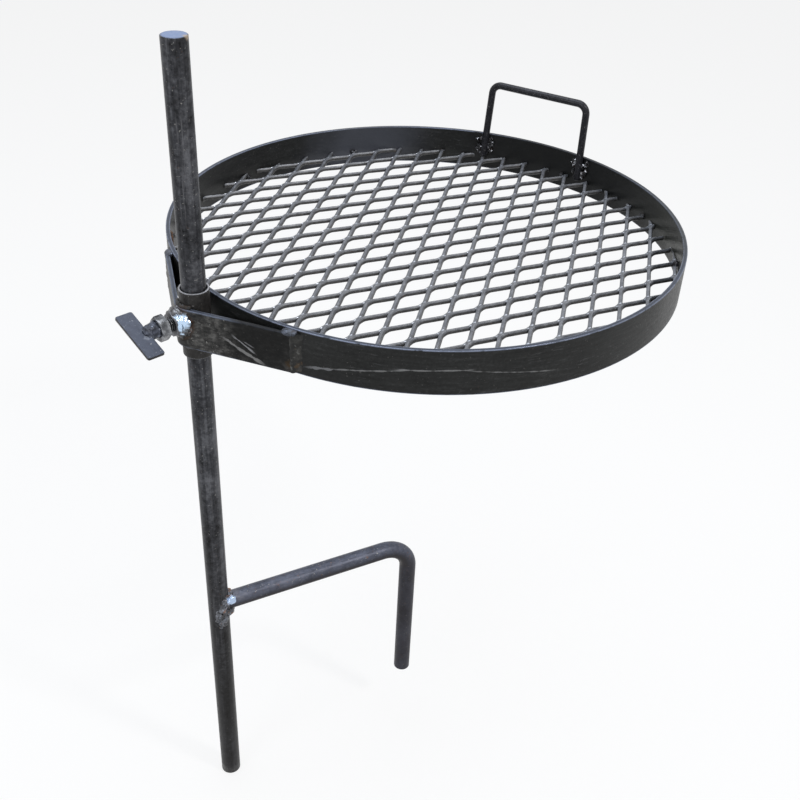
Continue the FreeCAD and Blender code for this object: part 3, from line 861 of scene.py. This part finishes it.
grate = {
    "longPitch": 70.7 * mm, "shortPitch": 33.0 * mm, "heading": 10.7, "shiftLong": 12.9 * mm,
    "shiftShort": -7.9 * mm, "bond": 9 * mm, "width": 4.4 * mm, "thick": 5.4 * mm, "tilt": -24,
    "bendRound": 0.22, "edge": 0.75 * mm, "rimGap": 1.0 * mm, "overrun": 3.4 * mm, "steps": 16,
    # where an edge starts to turn square on its way to a bond, and over how much of the way
    "squareFrom": 0.72, "squareOver": 0.26,
    # how sheared, and how much in painted underside shade, each of the twelve points round a strand is
    "cut": [0.9, 0.5, 0.0, 0.0, 0.1, 0.2, 1.0, 1.0, 1.0, 1.0, 1.0, 1.0],
    "underShade": [0, 0, 0, 0, 0, 0, 0.25, 0.8, 1, 1, 0.8, 0.25],
    "look": {
        "faceTones": [(0.3, (0.075, 0.078, 0.088)), (0.5, (0.15, 0.155, 0.17)), (0.72, (0.26, 0.265, 0.28))],
        "shearTones": [(0.3, (0.026, 0.025, 0.025)), (0.5, (0.055, 0.054, 0.054)),
                       (0.72, (0.12, 0.116, 0.112))],
        # the dark under tone is painted shade, the near-white spark tone a painted glint
        "underShadeTone": (0.02, 0.019, 0.019), "underShade": 0.85, "glintTone": (0.85, 0.9, 1.0),
        "rustTone": (0.16, 0.085, 0.045), "rust": 0.35, "rough": 0.42, "metal": 0.35, "bump": 0.25 * mm,
        "level": 0.4,
    },
}


def zigzag(distance):
    # where a strand lies between two rows of bonds: -1 at one row, 1 at the other
    half = grate["longPitch"] / 2
    wave = 1 - 2 * abs((distance / half) % 2 - 1)
    size = abs(wave * half / (half - grate["bond"]))
    soft = grate["bendRound"]
    if size > 1 + soft:
        size = 1.0
    elif size > 1 - soft:
        size -= (size - 1 + soft) ** 2 / (4 * soft)
    return copysign(size, wave)


def strandSection(fall):
    # a strand's section across and through; the corners on a bonded side are square
    start, over = grate["squareFrom"], grate["squareOver"]
    far, near = [grate["edge"] * (1 - min(max((side * fall - start) / over, 0), 1)) for side in (1, -1)]
    return roundedRectangle(grate["width"] / 2, grate["thick"] / 2, (far, near, near * 1.5, far * 1.5), 2)


def makeGrate():
    bm = bmesh.new()
    tilt = radians(grate["tilt"])
    wide = Vector((0, cos(tilt), sin(tilt)))
    thick = Vector((0, -sin(tilt), cos(tilt)))
    turn = Matrix.Rotation(radians(grate["heading"]), 3, "Z")
    middle = Vector((ringCentre.x, 0, (grateLow.z + grateHigh.z) / 2))
    limit = ringInner - grate["rimGap"]

    def put(centre, across, over, _):
        # a point of a strand's section, kept within the ring's curve
        point = centre + wide * across + thick * over
        flat = Vector((point.x, point.y))
        if flat.length > limit:
            flat *= limit / flat.length
        return turn @ Vector((flat.x, flat.y, point.z)) + middle

    halfLong, halfShort = grate["longPitch"] / 2, grate["shortPitch"] / 2
    swing = halfShort / 2 - grate["width"] / 2 * cos(tilt)
    rise = grate["width"] / 2 * sin(tilt)
    rows = int(limit / halfShort) + 2
    steps = grate["steps"]
    count = int(2 * limit / halfLong * steps) + steps
    for row in range(-rows, rows + 1):
        phase = grate["shiftLong"] + (row + 1) * halfLong
        run = []
        for i in range(-count // 2, count // 2 + 1):
            x = phase % (2 * halfLong) + i * halfLong / steps
            fall = zigzag(x - phase)
            y = grate["shiftShort"] + (row + 0.5) * halfShort + fall * swing
            if Vector((x, y)).length < limit + grate["overrun"]:
                run.append((Vector((x, y, -fall * rise)), fall, x - phase))
            else:
                addStrand(bm, run, put)
                run = []
        addStrand(bm, run, put)
    piece("grateMesh", bm, "grill", meshFinish("mesh steel", grate["look"]), "grate", 55)


def addStrand(bm, run, put):
    # one length of strand from one side of the ring to the other
    if len(run) < 3:
        return

    def glintAt(i, j):
        # painted glints on the tops of the bonds, where they are worn bright
        _, fall, distance = run[i]
        pitch = grate["longPitch"]
        near = abs((distance + pitch / 2) % pitch - pitch / 2) / grate["bond"]
        return float(fall < -0.9 and 0.3 < near < 0.9 and j in (3, 4, 5))

    loops = [[put(centre, *point) for point in strandSection(fall)] for centre, fall, _ in run]
    skin(loops, {"cut": lambda i, j: grate["cut"][j], "underShade": lambda i, j: grate["underShade"][j],
                 "glint": glintAt}, bm=bm)


def tackCentres(node, gap=12 * mm):
    # the middle of each separate solid in a node's mesh, one for each group closer than the gap
    bm = bmesh.new()
    bm.from_mesh(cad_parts[node].data)
    centres = []
    for vert in bm.verts:
        group = [] if vert.tag else [vert]
        vert.tag = True
        for member in group:
            for other in [edge.other_vert(member) for edge in member.link_edges]:
                if not other.tag:
                    other.tag = True
                    group.append(other)
        if group:
            centre = Vector([(min(along) + max(along)) / 2 for along in zip(*[v.co for v in group])])
            if all((centre - other).length > gap for other in centres):
                centres.append(centre)
    bm.free()
    return centres


tack = {"size": (3.6, 3.6, 3.4), "sink": 2.0 * mm, "rough": 0.4, "look": darkWeldLook}


def makeTacks():
    bm = bmesh.new()
    for index, centre in enumerate(tackCentres("grate_tack_welds")):
        radial = Vector((centre.x - ringCentre.x, centre.y, 0)).normalized()
        place = ringCentre + radial * (ringInner - tack["sink"]) + up * centre.z
        blob(bm, place, Vector(tack["size"]) * mm, index * 1.7, tack["rough"])
    weldPiece("grateTacks", bm, "grill", "tack weld", tack["look"], "grate_tack_welds")


# Handle

handle = {
    "rod": 9.5 * mm, "width": 145.2 * mm, "height": 72.4 * mm, "lap": 31 * mm, "bend": 13 * mm,
    "heading": 16.2, "lean": 6.5 * mm, "endBreak": 0.5 * mm, "segments": 28,
    "look": dict(
        barLook, grain=(0.6, 0.6, 0.6), patchSize=20 * mm, rust=0.1, rough=0.32, metal=0.35, scuff=0.5,
        tones=[(0.34, (0.008, 0.008, 0.01)), (0.55, (0.02, 0.02, 0.024)), (0.72, (0.055, 0.056, 0.064))]),
}


def handlePoints():
    # the handle's corners, from its left foot over to its right foot
    half = handle["width"] / 2
    chord = sqrt((ringInner - handle["rod"] / 2) ** 2 - half ** 2)
    low, high = ringTop - handle["lap"], ringTop + handle["height"]
    turn = Matrix.Rotation(radians(handle["heading"]), 3, "Z")
    corners = [(half, low), (half - handle["lean"], high), (-half, high), (-half, low)]
    return [ringCentre + turn @ Vector((chord, y, z)) for y, z in corners]


def makeHandle():
    path = bentPath(handlePoints(), handle["bend"], 1.2 * mm)
    stations = barEnds(path, handle["rod"] / 2, handle["endBreak"])
    bm = skin([circleLoop(place, way, radius, handle["segments"], polar(1, handle["heading"]))
               for place, way, radius in stations])
    piece("handleRod", bm, "grill", millScale("rod scale", handle["look"]), "handle")


handleWeld = {
    "lumps": 30, "low": 3 * mm, "high": 25 * mm, "spread": 14 * mm, "size": 2.8 * mm, "rough": 0.6,
    # the spread's share at the foot, how sizes vary, and how deep lumps near the rod and others sit
    "narrow": 0.55, "sizes": (0.75, 1.35), "talls": (0.8, 1.2), "nearRod": 6 * mm,
    "nearSink": 1.9 * mm, "sink": 0.8 * mm,
    "look": dict(darkWeldLook, rough=0.14, brightFrom=0.56, bright=0.9, brightTone=(0.62, 0.63, 0.67)),
}


def makeHandleWeld(name, node, foot, seed):
    # lumps strewn over the ring's inner face round a foot, wider at the top
    bm = bmesh.new()
    turn = random.Random(seed)
    low, high, lumps = handleWeld["low"], handleWeld["high"], handleWeld["lumps"]
    outward = Vector((foot.x - ringCentre.x, foot.y, 0)).normalized()
    along = Vector((-outward.y, outward.x, 0))
    for index in range(lumps):
        height = low + (high - low) * (index + turn.random()) / lumps
        share = handleWeld["narrow"] + (1 - handleWeld["narrow"]) * height / high
        aside = turn.uniform(-1, 1) * handleWeld["spread"] * share
        place = foot + along * aside
        flat = Vector((place.x - ringCentre.x, place.y, 0)).normalized()
        size = handleWeld["size"] * turn.uniform(*handleWeld["sizes"])
        sink = handleWeld["nearSink"] if abs(aside) < handleWeld["nearRod"] else handleWeld["sink"]
        seat = ringCentre + flat * (ringInner - sink) + up * (foot.z + height)
        size = Vector((size, size, size * turn.uniform(*handleWeld["talls"])))
        blob(bm, seat, size, seed + index * 2.3, handleWeld["rough"])
    weldPiece(name, bm, "grill", name, handleWeld["look"], node)


# Clamp

def boltFinish(name, look):
    # plain bright steel of a bought bolt, dulled and stained
    f = Finish(name)
    stain = f.cloud(9 * mm, 3, 0.55)
    fine = f.cloud(0.9 * mm, 3, 0.6, shift=2.0)
    groove = f.mark("groove")
    colour = f.mix(f.ramp(stain * 0.85 + fine * 0.15, look["tones"]), look["grooveTone"], groove * 0.9)
    return f.wear(colour, look["rough"] + (stain - 0.5) * 0.4 + groove * 0.2, look["metal"], fine, look)


bolt = {
    "flats": 23.8 * mm, "major": 15.875 * mm, "pitch": 2.309 * mm, "threadDepth": 1.25 * mm,
    "headTurn": 8, "nutTurn": 22, "segments": 96, "threadSegments": 40, "stepsPerTurn": 10,
    "lead": 1.4 * mm, "leadCut": 1.2 * mm, "boreGap": 0.1 * mm, "boreLip": 1 * mm,
    # how far along a hexagon its loops are, and how its corners are turned off at either end
    "hexSteps": (0.0, 0.02, 0.05, 0.09, 0.14, 0.2, 0.5, 0.8, 0.86, 0.91, 0.95, 0.98, 1.0),
    "cone": 1.9, "nearCut": 0.5 * mm, "farCut": 1.9 * mm,
    "look": {
        "tones": [(0.36, (0.05, 0.052, 0.058)), (0.5, (0.13, 0.135, 0.145)), (0.64, (0.34, 0.35, 0.37))],
        "grooveTone": (0.035, 0.03, 0.026), "rough": 0.22, "metal": 0.9, "bump": 0.1 * mm, "level": 0.5,
    },
    "nutLook": {
        "tones": [(0.3, (0.05, 0.05, 0.052)), (0.5, (0.12, 0.12, 0.13)), (0.7, (0.28, 0.28, 0.3))],
        "rough": 0.4,
    },
}


def onBolt(x, radius, angle):
    # a place round the bolt's axis
    return Vector((x, radius * cos(angle), boltHeight + radius * sin(angle)))


def hexLoops(nearX, farX, turn):
    # a hexagon whose ends are turned to a cone, more at the far end; loops run along the bolt
    reach = farX - nearX
    corner = bolt["flats"] / sqrt(3)
    loops = []
    slope = abs(reach) * bolt["cone"]
    for s in bolt["hexSteps"]:
        cone = corner + min(slope * s - bolt["nearCut"], slope * (1 - s) - bolt["farCut"])
        loop = []
        for angle in fullTurn(bolt["segments"]):
            fold = (degrees(angle) + 0.001) % 60 - 30
            radius = min(bolt["flats"] / 2 / cos(radians(fold)), cone)
            loop.append(onBolt(nearX + reach * s, radius, angle + radians(turn)))
        loops.append(loop)
    return loops


def makeHead():
    bm = skin(hexLoops(headHigh.x, headLow.x, bolt["headTurn"]))
    finish = boltFinish("bolt steel", bolt["look"])
    piece("clampBoltHead", bm, "t_handle", finish, "clamp_bolt_head", 24)


def makeNut():
    loops = hexLoops(nutHigh.x, nutLow.x, bolt["nutTurn"])
    bore, lip = bolt["major"] / 2 + bolt["boreGap"], bolt["boreLip"]
    for x in (nutLow.x, nutLow.x + lip, nutHigh.x - lip, nutHigh.x):
        loops.append([onBolt(x, bore, a + radians(bolt["nutTurn"])) for a in fullTurn(bolt["segments"])])
    finish = boltFinish("nut steel", dict(bolt["look"], **bolt["nutLook"]))
    piece("clampNut", skin(loops, closed=True), "grill", finish, "clamp_nut", 24)


def makeShank():
    start, end, count = shankHigh.x, shankLow.x, bolt["threadSegments"]
    steps = int((start - end) / bolt["pitch"] * bolt["stepsPerTurn"])
    depths = []
    loops = []
    for i in range(steps + 1):
        x = start + (end - start) * i / steps
        tip = min(1.0, (start - x) / bolt["lead"])
        row = []
        for j in range(count):
            phase = ((start - x) / bolt["pitch"] + j / count) % 1
            row.append(min(1.0, max(0.0, 1.25 - abs(phase - 0.5) * 4.4)))
        full = bolt["major"] / 2 - bolt["leadCut"] * (1 - tip)
        loops.append([onBolt(x, full - bolt["threadDepth"] * groove, -angle)
                      for groove, angle in zip(row, fullTurn(count))])
        depths.append(row)
    bm = skin(loops, {"groove": lambda i, j: depths[i][j]})
    finish = boltFinish("thread steel", dict(bolt["look"], rough=0.28))
    piece("clampBoltThread", bm, "clamp_bolt", finish, "clamp_bolt_shank", 60)


def lumpLoops(start, corners, seed, rough, grain, steps=7, count=56):
    # an uneven lump turned about the bolt's axis; corners are x from the start and radius, in mm
    points = [(start + x * mm, r * mm) for x, r in corners]
    profile = []
    for (x0, r0), (x1, r1) in zip(points, points[1:]):
        for i in range(steps):
            t = i / steps
            profile.append((x0 + (x1 - x0) * t, r0 + (r1 - r0) * t * t * (3 - 2 * t)))
    loops = []
    for x, radius in profile + points[-1:]:
        loop = []
        for angle in fullTurn(count):
            place = onBolt(x, radius, angle)
            swell = 1 + rough * lumpy(place, grain, seed) + rough * 0.4 * lumpy(place, grain * 0.4, seed + 3)
            loop.append(onBolt(x, radius * swell, angle))
        loops.append(loop)
    return loops


nutWeld = {
    "corners": [(7, 15.4), (2.6, 16.6), (-1.5, 15.8), (-4.5, 14.4), (-7.4, 12.8), (-9.2, 10.6)],
    "rough": 0.16, "grain": 5 * mm,
    # painted highlights: x from the strap's nose, y and z from the bolt's axis, inner, outer and ragged in mm
    "highlightSpots": [(-4.5, -12.2, 5.2, 5.8, 10.8, 10), (-4.0, -12.0, -7.0, 0.6, 3, 3)],
    "look": dict(
        weldLook, brightTone=(0.56, 0.72, 0.92), bright=0.15, rough=0.28, rustFrom=0.62, metal=0.75,
        bump=0.25 * mm,
        tones=[(0.36, (0.035, 0.035, 0.038)), (0.5, (0.09, 0.09, 0.095)), (0.66, (0.2, 0.205, 0.215))]),
}


def makeNutWeld():
    nose = -sleeveRadius - strap["wall"]
    loops = lumpLoops(nose, nutWeld["corners"], 3.0, nutWeld["rough"], nutWeld["grain"])
    bm = skin(loops, {"edge": lambda i, j: max(0.0, 1 - i / 18)})
    highlightSpots = [spot(Vector((nose + x * mm, y * mm, boltHeight + z * mm)), *rest)
             for x, y, z, *rest in nutWeld["highlightSpots"]]
    look = dict(nutWeld["look"], highlightSpots=highlightSpots)
    weldPiece("clampNutWeld", bm, "grill", "nut weld", look, "clamp_nut_weld", 80)


tBar = {
    "length": 63.5 * mm, "width": 19.05 * mm, "thick": 3.2 * mm, "corner": 2.2 * mm, "edge": 0.45 * mm,
    "roll": 17.8, "offset": 9.4 * mm,
    "scrapeAt": (0.22, -7 * mm), "scrape": (0.6, 4.5, 14, (0.2, 0.21, 0.24), 0.6),
    "look": dict(
        barLook, grain=(1, 0.35, 1), patchSize=12 * mm, scuff=0.9, scuffFrom=0.6, scuffTone=(0.3, 0.31, 0.34),
        rust=0.0, fleck=1.0, edge=0.85, edgeTone=(0.022, 0.019, 0.017), edgeFrom=0.2, rough=0.42, metal=0.3,
        fleckTone=(0.42, 0.42, 0.42),
        tones=[(0.34, (0.036, 0.04, 0.056)), (0.55, (0.055, 0.062, 0.085)), (0.72, (0.085, 0.094, 0.122))]),
}


def makeTBar():
    halfWide, halfLong = tBar["width"] / 2, tBar["length"] / 2
    half, edge = tBar["thick"] / 2, tBar["edge"]
    outline = roundedRectangle(halfWide, halfLong, [tBar["corner"]] * 4, 5)
    turn = Matrix.Rotation(radians(tBar["roll"]), 3, "X")
    centre = Vector((headLow.x - tBar["offset"] - halfWide, 0, boltHeight))
    loops = []
    for level, inset in ((-half, edge), (-half + edge * 0.3, edge * 0.3), (-half + edge, 0),
                         (half - edge, 0), (half - edge * 0.3, edge * 0.3), (half, edge)):
        wide, long = 1 - inset / halfWide, 1 - inset / halfLong
        loops.append([centre + turn @ Vector((x * wide, y * long, level)) for x, y, _ in outline])
    bm = skin(loops, {"edge": lambda i, j: float(0 < i < 5)})
    bm.faces.ensure_lookup_table()
    for face in bm.faces[-2:]:
        # an inset of no width gives the flat face its own corners, so that it shades flat
        bmesh.ops.inset_region(bm, faces=[face], thickness=0)
    across, along = tBar["scrapeAt"]
    scraped = centre + turn @ Vector((tBar["width"] * across, along, half))
    look = dict(tBar["look"], patches=[spot(scraped, *tBar["scrape"])])
    piece("tBarFlat", bm, "t_handle", millScale("flat scale", look), "t_bar", 30)


tBarWeld = {
    "corners": [(0.5, 7.0), (-0.3, 8.6), (-3.5, 8.0), (-8.0, 7.2), (-11.5, 7.0), (-15.0, 4.0)],
    "rough": 0.26, "grain": 9 * mm,
    "look": dict(
        darkWeldLook, rough=0.34, bright=0.5, brightFrom=0.6, rust=0.0, brightTone=(0.2, 0.22, 0.27),
        tones=[(0.34, (0.02, 0.022, 0.03)), (0.55, (0.048, 0.054, 0.074)), (0.72, (0.1, 0.11, 0.14))]),
}


def makeTBarWeld():
    bm = skin(lumpLoops(headLow.x, tBarWeld["corners"], 7.0, tBarWeld["rough"], tBarWeld["grain"]))
    weldPiece("tBarWeld", bm, "t_handle", "bar weld", tBarWeld["look"], "t_bar_weld", 80)


# Everything on the object

makeStake()
makeLeg()
makeLegWeld()
print("stake and anchor leg made")
makeSleeve()
makeStrap()
makeSleeveWeld("sleeveWeldUpper", "sleeve_weld_upper", strapTop, 1)
makeSleeveWeld("sleeveWeldLower", "sleeve_weld_lower", strapBottom, -1)
makeEndWeld("strapEndWeldLeft", "strap_end_weld_left", 1)
makeEndWeld("strapEndWeldRight", "strap_end_weld_right", -1)
makeBridge("strapTopWeldLeft", "strap_top_weld_left", 1)
makeBridge("strapTopWeldRight", "strap_top_weld_right", -1)
print("sleeve and strap made")
makeRing()
makeSeamWeld()
makeGrate()
makeTacks()
print("ring and grate made")
makeHandle()
makeHandleWeld("handleWeldLeft", "handle_weld_left", handlePoints()[0], 2)
makeHandleWeld("handleWeldRight", "handle_weld_right", handlePoints()[-1], 5)
print("handle made")
makeNut()
makeNutWeld()
makeShank()
makeHead()
makeTBar()
makeTBarWeld()
print("clamp made")


# Floor, light and camera

stage = {"floorSize": 9.0, "floorGap": 0.5 * mm, "floorTone": (0.86, 0.86, 0.86), "showsWhite": 0.82,
         "worldLight": 0.42, "worldTone": (0.92, 0.95, 1.0)}


def seenByEye(f):
    # 1 for camera, glossy and transmission rays, which are shown plain white
    eye, glossy, through = [f.add("ShaderNodeLightPath", {}, {}, f"Is {ray} Ray")
                            for ray in ("Camera", "Glossy", "Transmission")]
    eye = eye.maths("MAXIMUM", eye, glossy)
    return eye.maths("MAXIMUM", eye, through)


def makeFloor():
    bm = bmesh.new()
    size = stage["floorSize"]
    corners = [(-size, -size), (size, -size), (size, size), (-size, size)]
    bm.faces.new([bm.verts.new((x, y, stakeLow.z - stage["floorGap"])) for x, y in corners])
    f = Finish("floor white")
    matt = f.add("ShaderNodeBsdfDiffuse", {}, {"Color": stage["floorTone"]})
    glow = f.add("ShaderNodeEmission", {}, {"Color": (1, 1, 1), "Strength": 1.0})
    both = f.add("ShaderNodeMixShader", {}, {0: seenByEye(f) * stage["showsWhite"], 1: matt, 2: glow})
    f.feed(f.nodes["Material Output"].inputs["Surface"], both)
    meshObject("floor", bm, f.owner)


def makeWorld():
    f = Finish("studio", bpy.data.worlds)
    lit = {"Color": stage["worldTone"], "Strength": stage["worldLight"]}
    plain = f.add("ShaderNodeBackground", {}, lit)
    white = f.add("ShaderNodeBackground", {}, {"Color": (1, 1, 1), "Strength": 1.0})
    both = f.add("ShaderNodeMixShader", {}, {0: seenByEye(f), 1: plain, 2: white})
    f.feed(f.nodes["World Output"].inputs["Surface"], both)
    bpy.context.scene.world = f.owner


# each lamp: where it is, what it points at, its width, power and tone
lamps = {
    "sky": ((0.3, 0.4, 3.0), (0.2, 0, 0.4), 2.6, 60, (0.84, 0.91, 1.0)),
    "sun": ((0.9, -2.3, 2.7), (0.1, 0, 0.3), 0.5, 42, (1.0, 0.97, 0.93)),
    "side": ((-2.6, -0.6, 1.6), (0.1, 0, 0.3), 1.5, 20, (0.95, 0.97, 1.0)),
}


def makeLamps():
    for name, (place, aim, width, power, tone) in lamps.items():
        light = bpy.data.lights.new(name, "AREA")
        light.shape = "DISK"
        light.size = width
        light.energy = power
        light.color = tone
        obj = linked(name, light)
        obj.location = place
        obj.rotation_euler = (Vector(aim) - Vector(place)).to_track_quat("-Z", "Y").to_euler()


view = {"place": (-0.49618, -0.82386, 0.9717), "azimuth": -43.868, "elevation": 34.374, "roll": 2.825,
        "lens": 47.6, "sensor": 36.0}


def makeCamera():
    data = bpy.data.cameras.new("camera")
    data.lens = view["lens"]
    data.sensor_width = view["sensor"]
    camera = linked("camera", data)
    camera.matrix_world = Matrix.Translation(view["place"])
    for angle, axis in ((view["azimuth"], "Z"), (90 - view["elevation"], "X"), (view["roll"], "Z")):
        camera.matrix_world @= Matrix.Rotation(radians(angle), 4, axis)
    bpy.context.scene.camera = camera


makeFloor()
makeWorld()
makeLamps()
makeCamera()
bpy.context.scene.view_settings.view_transform = "Standard"
print("floor, light and camera made")
